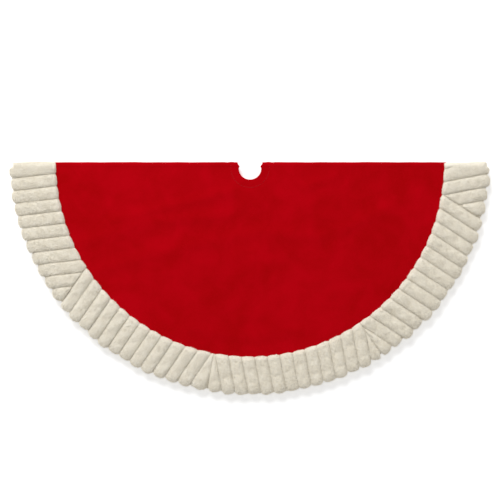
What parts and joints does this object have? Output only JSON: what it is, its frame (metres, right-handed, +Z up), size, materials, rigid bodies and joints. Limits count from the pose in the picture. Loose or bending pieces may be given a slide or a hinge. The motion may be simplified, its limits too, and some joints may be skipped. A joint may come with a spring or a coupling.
{
  "type": "tree skirt",
  "caption": "Round padded plush tree skirt with a quilted fur border, trunk opening and slit, folded in half and laid flat.",
  "frame": {"origin": "on the surface it lies on, under the middle of the folded outline", "axes": "+X along the fold, +Y from the rounded side to the fold, +Z up out of the front face"},
  "size_m": [1.2189, 0.5898, 0.032],
  "materials": {
    "plush_red": "short-pile plush, soft sheen",
    "fur_ivory": "short fur pile, matte",
    "wadding_white": "loose fibre, matte",
    "lining_ivory": "plain woven lining, low sheen",
    "facing_red": "plain woven, matte",
    "hook_tape_red": "moulded hooks on woven tape",
    "loop_tape_red": "brushed loops on woven tape"
  },
  "bodies": {
    "front_half": {"border_section_3_front": "fur_ivory", "border_section_4_front": "fur_ivory", "border_section_5_front": "fur_ivory", "border_section_6_front": "fur_ivory", "border_section_7_front": "fur_ivory", "border_wadding_3_front": "wadding_white", "border_wadding_4_front": "wadding_white", "border_wadding_5_front": "wadding_white", "border_wadding_6_front": "wadding_white", "border_wadding_7_front": "wadding_white", "front_hole_facing": "facing_red", "front_lining": "lining_ivory", "front_panel": "plush_red"},
    "back_left_flap": {"back_left_hole_facing": "facing_red", "back_left_lining": "lining_ivory", "back_left_panel": "plush_red", "back_left_slit_facing": "facing_red", "border_section_1_back_left": "fur_ivory", "border_section_2_back_left": "fur_ivory", "border_section_3_back_left": "fur_ivory", "border_wadding_1_back_left": "wadding_white", "border_wadding_2_back_left": "wadding_white", "border_wadding_3_back_left": "wadding_white", "hook_pad_1": "hook_tape_red", "hook_pad_2": "hook_tape_red", "hook_pad_3": "hook_tape_red"},
    "back_right_flap": {"back_right_hole_facing": "facing_red", "back_right_lining": "lining_ivory", "back_right_panel": "plush_red", "back_right_slit_facing": "facing_red", "border_section_7_back_right": "fur_ivory", "border_section_8_back_right": "fur_ivory", "border_wadding_7_back_right": "wadding_white", "border_wadding_8_back_right": "wadding_white", "loop_pad_1": "loop_tape_red", "loop_pad_2": "loop_tape_red", "loop_pad_3": "loop_tape_red"}
  },
  "joints": [
    {"name": "left_fold", "type": "hinge", "parent": "front_half", "child": "back_left_flap", "pos_m": [0, 0.295, 0.016], "axis": [1, 0, 0], "range_deg": [0, 180]},
    {"name": "right_fold", "type": "hinge", "parent": "front_half", "child": "back_right_flap", "pos_m": [0, 0.295, 0.016], "axis": [1, 0, 0], "range_deg": [0, 180]}
  ]
}
